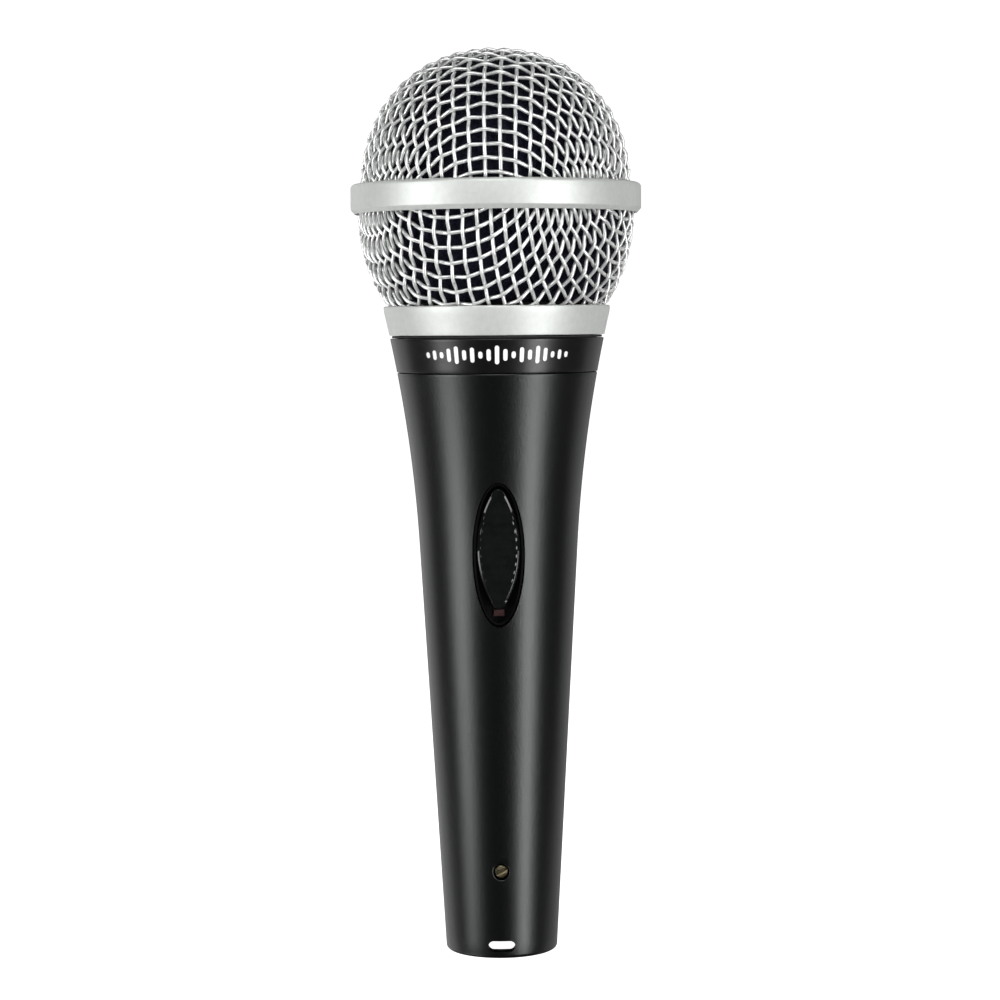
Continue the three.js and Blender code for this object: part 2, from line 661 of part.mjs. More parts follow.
addNode('switch_bezel', switchBezel(), 'blackPlastic', switchFrame);
addNode('switch_slider', switchSlider(), 'sliderPlastic', switchFrame);
addNode('switch_actuator', block(1.8, 1.5, -8.4, -2.4, 0, SLIDER_REST), 'blackPlastic', switchFrame);
const mark = block(2, 1.2, POCKET_FLOOR + 0.1, POCKET_FLOOR + 0.4, 0, MARK_PLACE);
addNode('on_mark', mark, 'redMark', switchFrame);
addNode('switch_body', switchBody(), 'steel', switchFrame);
addNode('switch_board', switchBoard(), 'board', switchFrame);
[-POST_PLACE, POST_PLACE].forEach((y, i) => {
  addNode(`switch_board_screw_${i + 1}`, switchScrew(y), 'steel', switchFrame);
});

// ---------------------------------------------------------------- connector

function connectorInsert() {
  const top = SOCKET_TOP - GAP;
  const body = disc(SOCKET_RADIUS - GAP, INSERT_FACE, top, 28);
  const holes = PIN_PLACES.map(([x, y]) => bar(PIN_HOLE_RADIUS, INSERT_FACE - 1, top + 1, x, y, 12));
  const screwBore = radialBar(INSERT_SCREW_RADIUS + 0.2, -10, -5.2, INSERT_SCREW_HEIGHT);
  return cut(body, ...holes, screwBore);
}

// A round-nosed pin with a solder cup at its inner end.
function connectorPin([x, y]) {
  const cup = 0.75;
  return revolved([
    [0, PIN_TIP],
    [0.7, PIN_TIP + 0.15],
    [PIN_RADIUS, PIN_TIP + 0.7],
    [PIN_RADIUS, PIN_TOP],
    [cup, PIN_TOP],
    [cup, PIN_TOP - 2.6],
    [0, PIN_TOP - 2.6],
  ], 12).translate(x, y, 0);
}

// The screw that backs out of the insert to lock it in the handle. Its outer end is below the
// handle's surface.
function insertScrew() {
  const outerEnd = 0.8 - bodyRadius(INSERT_SCREW_HEIGHT);
  const shank = radialBar(INSERT_SCREW_RADIUS, outerEnd, -5.5, INSERT_SCREW_HEIGHT);
  const slot = new THREE.BoxGeometry(4, 1.2, 0.45)
    .rotateY(THREE.MathUtils.degToRad(-25))
    .translate(0, outerEnd, INSERT_SCREW_HEIGHT);
  return cut(shank, slot);
}

// An angled leaf that stands on the shelf above the socket and touches the handle to earth.
function groundLug() {
  const outline = new THREE.Shape([
    new THREE.Vector2(-9.2, 26.3),
    new THREE.Vector2(-7.6, 26.3),
    new THREE.Vector2(-7.6, 26.9),
    new THREE.Vector2(-8.6, 26.9),
    new THREE.Vector2(-8.6, 32.6),
    new THREE.Vector2(-9.2, 32.6),
  ]);
  return extruded(outline, -1.5, 1.5).rotateX(Math.PI / 2);
}

addNode('connector_insert', connectorInsert(), 'blackPlastic');
PIN_PLACES.forEach((place, i) => addNode(`connector_pin_${i + 1}`, connectorPin(place), 'steel'));
addNode('insert_screw', insertScrew(), 'brass');
addNode('ground_lug', groundLug(), 'brass');

// ---------------------------------------------------------------- internal leads

const leadRoutes = {
  capsule_lead_1: [[-3, 0, 116], [-3.6, 0.8, 109], [-3.2, 0.4, 100], [-2.8, -1.4, 93], [-2.6, -3, 88.5]],
  capsule_lead_2: [[3, 0, 116], [3.6, 1.4, 109], [3.2, 0.8, 100], [2.8, -1.2, 93], [2.6, -3, 87]],
  output_lead_1: [[3, -2.2, 68], [3.8, 0.6, 61], [4.4, 1, 48], [3.9, -1, 36], [3.8, -1.6, 29]],
  output_lead_2: [[-3, -2.2, 66], [-2.4, 1.4, 58], [-1.2, 3, 46], [0, 4, 36], [0, 4.1, 29]],
  ground_lead: [[-3.8, -1.6, 29], [-4, -1.4, 32], [-5.6, -0.8, 34], [-7.4, -0.2, 33], [-7.7, 0, 30.5]],
};
const leadColours = ['leadRed', 'leadWhite', 'leadRed', 'leadWhite', 'leadBlack'];
Object.entries(leadRoutes).forEach(([name, points], i) => addNode(name, lead(points), leadColours[i]));

export default microphone;
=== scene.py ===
import json
import math

import bmesh
import bpy
import numpy as np
from mathutils import Matrix, Vector, noise


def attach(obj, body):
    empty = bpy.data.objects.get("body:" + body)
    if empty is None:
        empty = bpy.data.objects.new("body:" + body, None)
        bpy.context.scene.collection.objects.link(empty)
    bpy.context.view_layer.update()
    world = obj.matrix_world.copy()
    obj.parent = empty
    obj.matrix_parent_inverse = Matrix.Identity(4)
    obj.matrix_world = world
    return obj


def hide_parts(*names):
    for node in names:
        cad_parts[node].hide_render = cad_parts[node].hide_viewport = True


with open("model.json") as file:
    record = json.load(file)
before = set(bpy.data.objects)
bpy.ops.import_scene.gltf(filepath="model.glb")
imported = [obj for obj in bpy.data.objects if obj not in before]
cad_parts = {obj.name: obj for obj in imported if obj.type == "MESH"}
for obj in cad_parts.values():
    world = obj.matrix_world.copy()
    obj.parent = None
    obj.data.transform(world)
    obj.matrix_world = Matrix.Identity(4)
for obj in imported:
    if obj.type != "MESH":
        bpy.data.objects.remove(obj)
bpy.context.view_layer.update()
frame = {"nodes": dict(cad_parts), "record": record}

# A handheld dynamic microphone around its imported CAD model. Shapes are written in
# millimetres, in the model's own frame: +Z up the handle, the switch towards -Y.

MM = 0.001
TAU = math.tau

# ------------------------------------------------------------------ driving dimensions

END_RADIUS = 10.8
TAPER = 0.0573
FLARE_START = 79.6
FLARE_RATE = 0.00194
WALL = 2.2

SOCKET_RADIUS = 8.2
SOCKET_TOP = 24.0
SHELF_TOP = 26.0
SHELF_RADIUS = 7.2
INSERT_FACE = 12.5
PIN_PLACES = [(-3.8, -1.6), (3.8, -1.6), (0.0, 4.1)]
PIN_RADIUS = 1.2
PIN_TIP = 2.6
PIN_TOP = 28.4
PIN_CUP_RADIUS = 0.75
PIN_CUP_DEPTH = 2.6
INSERT_SCREW_HEIGHT = 17.0
INSERT_SCREW_RADIUS = 1.25
LATCH_SLOT_HEIGHT = 2.4
LATCH_SLOT_WIDTH = 5.2
LATCH_SLOT_TALL = 2.1

SHOULDER = 112.6
BAND_BOTTOM = 112.9
BAND_TOP = 119.2
COLLAR_BOTTOM = 119.8
COLLAR_TOP = 125.4
SPIGOT_RADIUS = 17.95
SPIGOT_BORE = 15.2
SPIGOT_TOP = 125.0
THREAD_ROOT = 17.2
THREAD_DEPTH = 0.8
THREAD_PITCH = 1.5
THREAD_START = 120.4
THREAD_BOTTOM = 119.6
THREAD_CREST = 0.425
THREAD_FLANK = 0.3
COLLAR_BORE = 18.3

BOWL_CENTRE = 143.0
BOWL_RADIUS = 26.7
BOWL_DEPTH = 29.2
DOME_CENTRE = 147.5
DOME_RADIUS = 26.2
DOME_RISE = 27.3
DOME_POWER = 2.15
RING_RADIUS = 28.0
RING_BOTTOM = 143.1
RING_TOP = 148.8

WIRE = 0.71
MESH_DEPTH = 1.5
WIRE_PITCH = 2.85
DOME_ROW_PITCH = 2.6
WIRE_SIDES = 8
WIRE_STEPS = 7
FOAM_THICKNESS = 2.2

SWITCH_HEIGHT = 78.25
SWITCH_RADIUS = 15.3
SWITCH_TILT = math.radians(3.9)
POCKET_LENGTH = 27.7
POCKET_WIDTH = 10.0
POCKET_FLOOR = -2.6
TRAY_RIM = -1.0
TRAY_BASE = -4.8
SLIDER_REST = 1.1
SLIDER_HALF_WIDTH = 4.1
SLIDER_HALF_LENGTH = 11.45

SEGMENTS = 192

# A point in the switch's own frame (x across, y up the handle, z outwards) to the model's frame.
SWITCH_FRAME = (
    Matrix.Translation((0, -SWITCH_RADIUS, SWITCH_HEIGHT))
    @ Matrix.Rotation(math.pi / 2 + SWITCH_TILT, 4, "X")
)


def front_frame(height):
    """The same kind of frame on the handle's axis, level with a height."""
    return Matrix.Translation((0, 0, height)) @ Matrix.Rotation(math.pi / 2, 4, "X")


def body_radius(z):
    """The handle's outline, which the band and the collar carry on: a straight taper, then a flare."""
    flare = max(0.0, z - FLARE_START)
    return END_RADIUS + TAPER * z + FLARE_RATE * flare * flare


# ------------------------------------------------------------------ mesh helpers


def new_object(name, vertices, faces, sharp=30.0):
    """A smooth-shaded mesh object from points in millimetres."""
    mesh = bpy.data.meshes.new(name)
    points = np.asarray(vertices, float) * MM
    mesh.from_pydata(points.tolist(), [], faces)
    mesh.validate()
    finish_shading(mesh, sharp)
    made = bpy.data.objects.new(name, mesh)
    bpy.context.scene.collection.objects.link(made)
    return made


def finish_shading(mesh, sharp=30.0):
    """Turns the faces outwards and shades them smooth, apart from edges sharper than an angle."""
    fixed = bmesh.new()
    fixed.from_mesh(mesh)
    bmesh.ops.recalc_face_normals(fixed, faces=fixed.faces)
    fixed.to_mesh(mesh)
    fixed.free()
    mesh.shade_smooth()
    mesh.set_sharp_from_angle(angle=math.radians(sharp))


def filleted(corners, steps=5, closed=True):
    """Profile points from (radius, height, fillet) corners, each fillet an arc of that radius."""
    count = len(corners)
    points = []
    for i, (r, z, fillet) in enumerate(corners):
        here = Vector((r, z))
        if fillet <= 0 or (not closed and i in (0, count - 1)):
            points.append((r, z))
            continue
        before = (Vector(corners[i - 1][:2]) - here).normalized()
        after = (Vector(corners[(i + 1) % count][:2]) - here).normalized()
        half = math.acos(max(-1, min(1, before.dot(after)))) / 2
        reach = fillet / math.tan(half)
        centre = here + (before + after).normalized() * (fillet / math.sin(half))
        first = here + before * reach - centre
        last = here + after * reach - centre
        turn = first.angle_signed(last)
        for k in range(steps + 1):
            spun = Matrix.Rotation(-turn * k / steps, 2) @ first
            points.append(tuple(centre + spun))
    return points


def lathe(name, profile, segments=SEGMENTS, sharp=30.0, radius_at=None):
    """A closed profile of (radius, height) points turned about Z. Points on the axis become poles.
    radius_at(angle, radius, height) may change a point's radius, which makes a thread."""
    vertices, rings = [], []
    for r, z in profile:
        if r < 1e-6:
            rings.append([len(vertices)] * segments)
            vertices.append((0.0, 0.0, z))
            continue
        ring = []
        for k in range(segments):
            angle = TAU * k / segments
            out = radius_at(angle, r, z) if radius_at else r
            ring.append(len(vertices))
            vertices.append((out * math.cos(angle), out * math.sin(angle), z))
        rings.append(ring)
    faces = []
    on_axis = profile[0][0] < 1e-6 and profile[-1][0] < 1e-6
    spans = len(profile) - 1 if on_axis else len(profile)
    for i in range(spans):
        low, high = rings[i], rings[(i + 1) % len(rings)]
        for k in range(segments):
            n = (k + 1) % segments
            corners = [low[k], low[n], high[n], high[k]]
            face = list(dict.fromkeys(corners))
            if len(face) > 2:
                faces.append(face)
    return new_object(name, vertices, faces, sharp)


def prism(name, outline, low, high, chamfer=0.0):
    """An outline of (x, y) points drawn out along Z. A chamfer flares it past its top."""
    outline = np.array(outline, float)
    levels = [(low, 0.0), (high, 0.0)]
    if chamfer:
        levels = [(low, 0.0), (high - chamfer, 0.0), (high + 3 * chamfer, 8 * chamfer)]
    centre = outline.mean(0)
    ahead = np.roll(outline, -1, 0) - np.roll(outline, 1, 0)
    out = np.stack([ahead[:, 1], -ahead[:, 0]], 1)
    out /= np.linalg.norm(out, axis=1)[:, None]
    if ((outline - centre) * out).sum() < 0:
        out = -out
    count = len(outline)
    vertices = [(*point, z) for z, grow in levels for point in outline + out * grow]
    faces = [list(range(count))[::-1], list(range(len(vertices) - count, len(vertices)))]
    for level in range(len(levels) - 1):
        base = level * count
        for k in range(count):
            n = (k + 1) % count
            faces.append([base + k, base + n, base + count + n, base + count + k])
    return new_object(name, vertices, faces)


def place(piece, matrix):
    """Moves a piece's mesh by a matrix whose translation is in millimetres."""
    scaled = matrix.copy()
    scaled.translation *= MM
    piece.data.transform(scaled)
    return piece


def boolean(piece, tool, operation="DIFFERENCE"):
    """Cuts or joins by a tool object, which is then removed."""
    modifier = piece.modifiers.new("cut", "BOOLEAN")
    modifier.operation = operation
    modifier.solver = "EXACT"
    modifier.object = tool
    bpy.context.view_layer.update()
    shown = piece.evaluated_get(bpy.context.evaluated_depsgraph_get())
    mesh = bpy.data.meshes.new_from_object(shown)
    piece.modifiers.clear()
    old = piece.data
    piece.data = mesh
    mesh.name = piece.name
    bpy.data.meshes.remove(old)
    bpy.data.objects.remove(tool)
    finish_shading(mesh)
    return piece


def rectangle(width, height, middle=0.0):
    half, low, high = width / 2, middle - height / 2, middle + height / 2
    return [(-half, low), (half, low), (half, high), (-half, high)]


def oval(length, width, count=96):
    return [
        (width / 2 * math.cos(TAU * k / count), length / 2 * math.sin(TAU * k / count))
        for k in range(count)
    ]


def circle(radius, count=48):
    return oval(2 * radius, 2 * radius, count)


def stadium(width, height, count=24):
    end, reach = height / 2, (width - height) / 2
    points = []
    for side in (1, -1):
        for k in range(count + 1):
            angle = (k / count - 0.5) * math.pi
            points.append((side * (reach + end * math.cos(angle)), side * end * math.sin(angle)))
    return points


def lens_half_width(y, half_width, half_length, tip):
    """Half the width, at y, of two long arcs that meet in rounded tips."""
    centre = half_length - tip
    side = (half_width**2 - tip**2 + centre**2) / (2 * (half_width - tip))
    offset = side - half_width
    join = centre + tip * centre / math.hypot(centre, offset)
    if abs(y) < join:
        return math.sqrt(side**2 - y**2) - offset
    return math.sqrt(max(0.0, tip**2 - (abs(y) - centre) ** 2))


# ------------------------------------------------------------------ materials


class Nodes:
    """A material's node tree, with short calls for the nodes that are used often."""

    def __init__(self, name):
        self.material = bpy.data.materials.new(name)
        self.material.use_nodes = True
        self.tree = self.material.node_tree
        self.shader = self.tree.nodes["Principled BSDF"]
        coordinates = self.add("ShaderNodeTexCoord")
        self.place = coordinates.outputs["Object"]

    def add(self, kind, **values):
        node = self.tree.nodes.new(kind)
        for key, value in values.items():
            setattr(node, key, value)
        return node

    def link(self, a, b):
        self.tree.links.new(a, b)

    def set(self, **values):
        for key, value in values.items():
            socket = key.replace("_", " ").title().replace("Ior", "IOR")
            self.shader.inputs[socket].default_value = value
        return self

    def noise(self, scale, detail=4.0, roughness=0.6):
        node = self.add("ShaderNodeTexNoise")
        node.inputs["Scale"].default_value = scale
        node.inputs["Detail"].default_value = detail
        node.inputs["Roughness"].default_value = roughness
        self.link(self.place, node.inputs["Vector"])
        return node.outputs["Fac"]

    def cells(self, scale):
        node = self.add("ShaderNodeTexVoronoi", feature="F1")
        node.inputs["Scale"].default_value = scale
        self.link(self.place, node.inputs["Vector"])
        return node.outputs["Distance"]

    def colour(self, source, stops):
        ramp = self.add("ShaderNodeValToRGB")
        elements = ramp.color_ramp.elements
        while len(elements) < len(stops):
            elements.new(0.5)
        for element, (where, shade) in zip(elements, stops):
            element.position = where
            element.color = (*shade, 1.0)
        self.link(source, ramp.inputs["Fac"])
        self.link(ramp.outputs["Color"], self.shader.inputs["Base Color"])
        return self

    def roughen(self, source, low, high):
        span = self.add("ShaderNodeMapRange")
        span.inputs["To Min"].default_value = low
        span.inputs["To Max"].default_value = high
        self.link(source, span.inputs["Value"])
        self.link(span.outputs["Result"], self.shader.inputs["Roughness"])
        return self

    def bump(self, source, height_mm):
        node = self.add("ShaderNodeBump")
        node.inputs["Distance"].default_value = height_mm * MM
        node.inputs["Strength"].default_value = 1.0
        self.link(source, node.inputs["Height"])
        self.link(node.outputs["Normal"], self.shader.inputs["Normal"])
        return self


def tinted(name, dark, light, grain, roughness, metallic=0.0, height=0.01, **more):
    """A material whose colour and roughness wander between two values, with a fine bump."""
    made = Nodes(name)
    made.set(metallic=metallic, **more)
    made.colour(made.noise(grain * 0.35, 3.0), [(0.35, dark), (0.65, light)])
    made.roughen(made.noise(grain, 5.0), *roughness)
    made.bump(made.noise(grain * 2.5, 3.0), height)
    return made.material


def handle_paint():
    """Charcoal paint with a fine metallic flake and a slightly pebbled satin surface."""
    made = Nodes("handle_paint")
    made.set(metallic=0.0, specular_ior_level=0.6)
    made.set(specular_tint=(0.95, 1.0, 0.97, 1.0))
    made.colour(made.cells(5200), [(0.1, (0.0012, 0.0018, 0.0018)), (0.6, (0.0004, 0.0006, 0.0006))])
    made.roughen(made.noise(2600, 4.0), 0.27, 0.35)
    made.bump(made.noise(2500, 5.0, 0.75), 0.03)
    return made.material


def satin_silver():
    made = Nodes("satin_silver")
    made.set(metallic=0.5)
    made.colour(made.noise(900, 4.0), [(0.3, (0.615, 0.635, 0.615)), (0.7, (0.675, 0.695, 0.67))])
    made.roughen(made.noise(2400, 4.0), 0.46, 0.56)
    made.bump(made.noise(5200, 3.0), 0.006)
    return made.material


def wire_silver():
    made = Nodes("mesh_wire")
    made.set(metallic=0.62)
    made.colour(made.noise(500, 3.0), [(0.3, (0.8, 0.815, 0.8)), (0.7, (0.91, 0.92, 0.91))])
    made.roughen(made.noise(1600, 4.0), 0.24, 0.34)
    made.bump(made.noise(3500, 3.0), 0.004)
    return made.material


def foam_black():
    """Open-cell foam, dark navy, with its pores painted darker than the strands as painted shade in the
    hollows.
    """
    made = Nodes("foam")
    made.set(metallic=0.0, specular_ior_level=0.1)
    pore_depth_and_shade = made.cells(1900)
    # The pores' darker colour is painted shade; the same pores also give the real bump.
    made.colour(pore_depth_and_shade, [(0.15, (0.0015, 0.0015, 0.003)), (0.55, (0.008, 0.008, 0.017))])
    made.roughen(made.noise(1500, 3.0), 0.9, 1.0)
    made.bump(pore_depth_and_shade, 0.25)
    return made.material


def gloss_black():
    made = Nodes("band_gloss")
    made.set(metallic=0.0, specular_ior_level=0.5)
    made.colour(made.noise(400, 3.0), [(0.3, (0.002,) * 3), (0.7, (0.004,) * 3)])
    made.roughen(made.noise(1300, 3.0), 0.27, 0.35)
    made.bump(made.noise(700, 2.0), 0.002)
    return made.material


def materials():
    plastic = dict(grain=1400, roughness=(0.48, 0.6), height=0.006, specular_ior_level=0.12)
    return {
        "handle_paint": handle_paint(),
        "band_gloss": gloss_black(),
        "satin_silver": satin_silver(),
        "mesh_wire": wire_silver(),
        "foam": foam_black(),
        "black_plastic": tinted("black_plastic", (0.0015,) * 3, (0.003, 0.003, 0.0035), **plastic),
        "slider_plastic": tinted(
            "slider_plastic", (0.003, 0.0035, 0.0035), (0.005, 0.006, 0.006), 1200, (0.14, 0.2),
            height=0.002,
        ),
        # The mark is its own red, made darker as painted shade from the recess it sits in.
        "red_mark": tinted("red_mark", (0.03, 0.007, 0.006), (0.05, 0.01, 0.009), 900, (0.55, 0.7)),
        "rubber": tinted("rubber", (0.008,) * 3, (0.016,) * 3, 1100, (0.7, 0.85), height=0.02),
        "brass": tinted("brass", (0.3, 0.25, 0.15), (0.5, 0.43, 0.27), 1500, (0.22, 0.42), 1.0, 0.06),
        "steel": tinted("steel", (0.42, 0.42, 0.43), (0.56, 0.56, 0.57), 1300, (0.26, 0.4), 1.0),
        "magnet": tinted("magnet", (0.12, 0.12, 0.13), (0.2, 0.2, 0.21), 1000, (0.4, 0.55), 0.9),
        "film": tinted("film", (0.6, 0.58, 0.5), (0.72, 0.7, 0.62), 500, (0.15, 0.25)),
        "copper": tinted("copper", (0.45, 0.2, 0.09), (0.6, 0.3, 0.14), 2600, (0.3, 0.4), 1.0),
        "cloth": tinted("cloth", (0.01,) * 3, (0.03, 0.03, 0.034), 2400, (0.9, 1.0), height=0.05),
        "board": tinted("board", (0.012, 0.07, 0.03), (0.02, 0.11, 0.05), 700, (0.35, 0.5)),
        "lead_red": tinted("lead_red", (0.3, 0.015, 0.015), (0.4, 0.02, 0.02), 800, (0.4, 0.5)),
        "lead_white": tinted("lead_white", (0.6, 0.6, 0.57), (0.7, 0.7, 0.67), 800, (0.4, 0.5)),
        "lead_black": tinted("lead_black", (0.01,) * 3, (0.02,) * 3, 800, (0.4, 0.5)),
        "print_white": tinted("print_white", (0.8,) * 3, (0.88,) * 3, 1500, (0.35, 0.5), height=0.002),
    }


FINISH = materials()


def dress(piece, body, slot, *nodes, finish=None):
    """Gives a piece the material of its slot, or of another finish, puts it on its body, and hides the
    CAD nodes that it stands for.
    """
    piece.data.materials.clear()
    piece.data.materials.append(FINISH[finish or slot])
    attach(piece, body)
    if nodes:
        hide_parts(*nodes)
    return piece


# ------------------------------------------------------------------ camera

# It looks along +Y from in front of the switch, at the height of the grille's collar, and pitches
# down to the microphone's middle.
CAMERA_PLACE = (0.33, -540.6, 123.0)
CAMERA_PITCH = math.radians(3.73)
CAMERA_ROLL = math.radians(-0.47)
CAMERA_LENS = 100.44


def make_camera():
    data = bpy.data.cameras.new("camera")
    data.lens = CAMERA_LENS
    data.sensor_width = 36.0
    data.clip_start = 0.01
    data.clip_end = 50.0
    made = bpy.data.objects.new("camera", data)
    bpy.context.scene.collection.objects.link(made)
    turn = Matrix.Rotation(math.pi / 2 - CAMERA_PITCH, 4, "X") @ Matrix.Rotation(CAMERA_ROLL, 4, "Z")
    made.matrix_world = Matrix.Translation(Vector(CAMERA_PLACE) * MM) @ turn
    bpy.context.scene.camera = made


make_camera()

# ------------------------------------------------------------------ handle


def thread_ridge(angle, rise):
    """The ridge's height, from its flat crest down its flanks, where rise is above the first turn."""
    turns = rise / THREAD_PITCH - angle / TAU
    off = abs(turns - round(turns)) * THREAD_PITCH
    return THREAD_DEPTH * max(0.0, min(1.0, (THREAD_CREST - off) / THREAD_FLANK))


def thread_radius(angle, radius, height):
    """Adds the grille thread's ridge to the spigot's surface."""
    if radius > THREAD_ROOT + 0.01 or height < THREAD_START - 0.6:
        return radius
    along = min(1.0, max(0.0, (SPIGOT_TOP - 0.15 - height) / 0.4), (height - THREAD_START + 0.6) / 0.5)
    return radius + thread_ridge(angle, height - THREAD_START) * along


def handle_profile():
    """From the socket's mouth up the outside to the spigot's thread, and back down the inside."""
    bottom = filleted(
        [(SOCKET_RADIUS, 3, 0), (SOCKET_RADIUS, 0, 0.35), (END_RADIUS, 0, 0.8), (body_radius(3), 3, 0)],
        closed=False,
    )
    heights = [4 + 1.6 * k for k in range(37)] + [63 + 0.8 * k for k in range(41)]
    heights += [96 + 1.1 * k for k in range(15)]
    flank = [(body_radius(z), z) for z in heights]
    shoulder = filleted(
        [
            (body_radius(111.9), 111.9, 0),
            (body_radius(SHOULDER), SHOULDER, 0.25),
            (SPIGOT_RADIUS, SHOULDER, 0),
            (SPIGOT_RADIUS, THREAD_BOTTOM, 0.15),
            (THREAD_ROOT, THREAD_BOTTOM, 0),
            (THREAD_ROOT, THREAD_BOTTOM + 0.1, 0),
        ],
        closed=False,
    )
    thread = [(THREAD_ROOT, 119.75 + 0.075 * k) for k in range(69)]
    inside = [
        (THREAD_ROOT - 0.2, SPIGOT_TOP),
        (SPIGOT_BORE + 0.2, SPIGOT_TOP),
        (SPIGOT_BORE, SPIGOT_TOP - 0.2),
        (SPIGOT_BORE, 100.5),
        (body_radius(91) - WALL, 91),
        (body_radius(FLARE_START) - WALL, FLARE_START),
        (body_radius(SHELF_TOP) - WALL, SHELF_TOP),
        (SHELF_RADIUS, SHELF_TOP),
        (SHELF_RADIUS, SOCKET_TOP),
        (SOCKET_RADIUS, SOCKET_TOP),
        (SOCKET_RADIUS, 14.0),
    ]
    return bottom + flank + shoulder + thread + inside


def make_handle():
    handle = lathe("handle_painted", handle_profile(), sharp=24.0, radius_at=thread_radius)
    pocket = prism("pocket_tool", oval(POCKET_LENGTH, POCKET_WIDTH, 160), -6, 4)
    boolean(handle, place(pocket, SWITCH_FRAME))
    hole = prism("hole_tool", circle(INSERT_SCREW_RADIUS + 0.35), 7.4, 11.74, 0.12)
    boolean(handle, place(hole, front_frame(INSERT_SCREW_HEIGHT)))
    slot = prism("slot_tool", stadium(LATCH_SLOT_WIDTH, LATCH_SLOT_TALL), 6, 14)
    boolean(handle, place(slot, front_frame(LATCH_SLOT_HEIGHT)))
    return dress(handle, "handle", "handle_paint", "handle_shell")


def make_band():
    inner = SPIGOT_RADIUS + 0.3
    bottom = BAND_BOTTOM - 0.2
    flank = [(body_radius(z), z, 0) for z in np.linspace(BAND_BOTTOM + 0.6, BAND_TOP - 0.6, 12)]
    corners = [
        (inner, bottom, 0.1),
        (body_radius(bottom), bottom, 0.14),
        *flank,
        (body_radius(BAND_TOP), BAND_TOP, 0.22),
        (inner, BAND_TOP, 0.1),
    ]
    return dress(lathe("band_black", filleted(corners)), "handle", "band_gloss", "name_band")


make_handle()
make_band()

# A wordless row of bars, like a sound wave, printed round the front of the band.
HALF_WAVE = [1.1, 1.8, 1.2, 2.5, 3.3, 1.9, 2.8, 1.3, 2.2]
BAR_HEIGHTS = [*HALF_WAVE, 3.5, *reversed(HALF_WAVE)]
BAR_PITCH = 1.56
BAR_WIDTH = 0.8
PRINT_THICKNESS = 0.04


def make_print():
    """Rounded bars, bent round the band and standing just proud of it."""
    middle = (BAND_BOTTOM + BAND_TOP) / 2 + 0.1
    vertices, faces = [], []
    for i, tall in enumerate(BAR_HEIGHTS):
        across = (i - (len(BAR_HEIGHTS) - 1) / 2) * BAR_PITCH
        outline = [(across + x, y) for y, x in stadium(tall, BAR_WIDTH, 8)]
        count = len(outline)
        base = len(vertices)
        for lift in (0.005, PRINT_THICKNESS):
            for x, y in outline:
                z = middle + y
                radius = body_radius(z) + lift
                angle = x / body_radius(middle)
                vertices.append((radius * math.sin(angle), -radius * math.cos(angle), z))
        faces.append([base + k for k in range(count)][::-1])
        faces.append([base + count + k for k in range(count)])
        for k in range(count):
            n = (k + 1) % count
            faces.append([base + k, base + n, base + count + n, base + count + k])
    made = new_object("band_bars", vertices, faces)
    return dress(made, "handle", "band_gloss", finish="print_white")


make_print()

# ------------------------------------------------------------------ woven wire ball


def chebyshev_net(step, cross_step, reach):
    """Crossing points, on a unit sphere round +Z, of a woven cloth draped over it: every cell keeps
    its sides and shears. Keys are (i, j), and (0, 0) is the pole."""
    net = {(0, 0): np.array([0.0, 0.0, 1.0])}
    for k in range(-reach, reach + 1):
        net[k, 0] = np.array([math.sin(k * step), 0.0, math.cos(k * step)])
        net[0, k] = np.array([0.0, math.sin(k * cross_step), math.cos(k * cross_step)])
    for si in (1, -1):
        for sj in (1, -1):
            for i in range(1, reach + 1):
                for j in range(1, reach + 1):
                    near = net.get((si * (i - 1), sj * (j - 1)))
                    a = net.get((si * i, sj * (j - 1)))
                    b = net.get((si * (i - 1), sj * j))
                    if near is None or a is None or b is None:
                        continue
                    # A cell whose sides have closed on each other is left out, and so is all beyond.
                    if np.linalg.norm(np.cross(a, b)) < 0.02 * step:
                        continue
                    middle = (a + b) / np.linalg.norm(a + b)
                    net[si * i, sj * j] = 2 * near.dot(middle) * middle - near
    return net


def wire_paths(net, reach, surface, turn, lean, inside):
    """The wires' centre lines on a surface. surface(unit vector) gives a point and its normal. The
    net is turned about Z and then leant over. Each wire passes over one crossing wire and under
    the next."""
    spin = np.array(Matrix.Rotation(lean[1], 3, "Y") @ Matrix.Rotation(lean[0], 3, "X")
                    @ Matrix.Rotation(turn, 3, "Z"))
    paths = []
    for family in (0, 1):
        for line in range(-reach, reach + 1):
            keys = [(line, k) if family else (k, line) for k in range(-reach, reach + 1)]
            run = []
            for here, there in zip(keys, keys[1:]):
                if here not in net or there not in net:
                    if run:
                        paths.append(run)
                    run = []
                    continue
                a, b = spin @ net[here], spin @ net[there]
                rise = (1 if (here[0] + here[1]) % 2 else -1) * (1 if family else -1)
                for s in range(WIRE_STEPS):
                    share = s / WIRE_STEPS
                    unit = a + (b - a) * share
                    point, normal = surface(unit / np.linalg.norm(unit))
                    over = rise * WIRE / 2 * math.cos(math.pi * share)
                    if inside(point[2]):
                        run.append((point + normal * over, normal))
                    elif run:
                        paths.append(run)
                        run = []
            if run:
                paths.append(run)
    return [path for path in paths if len(path) > 3]


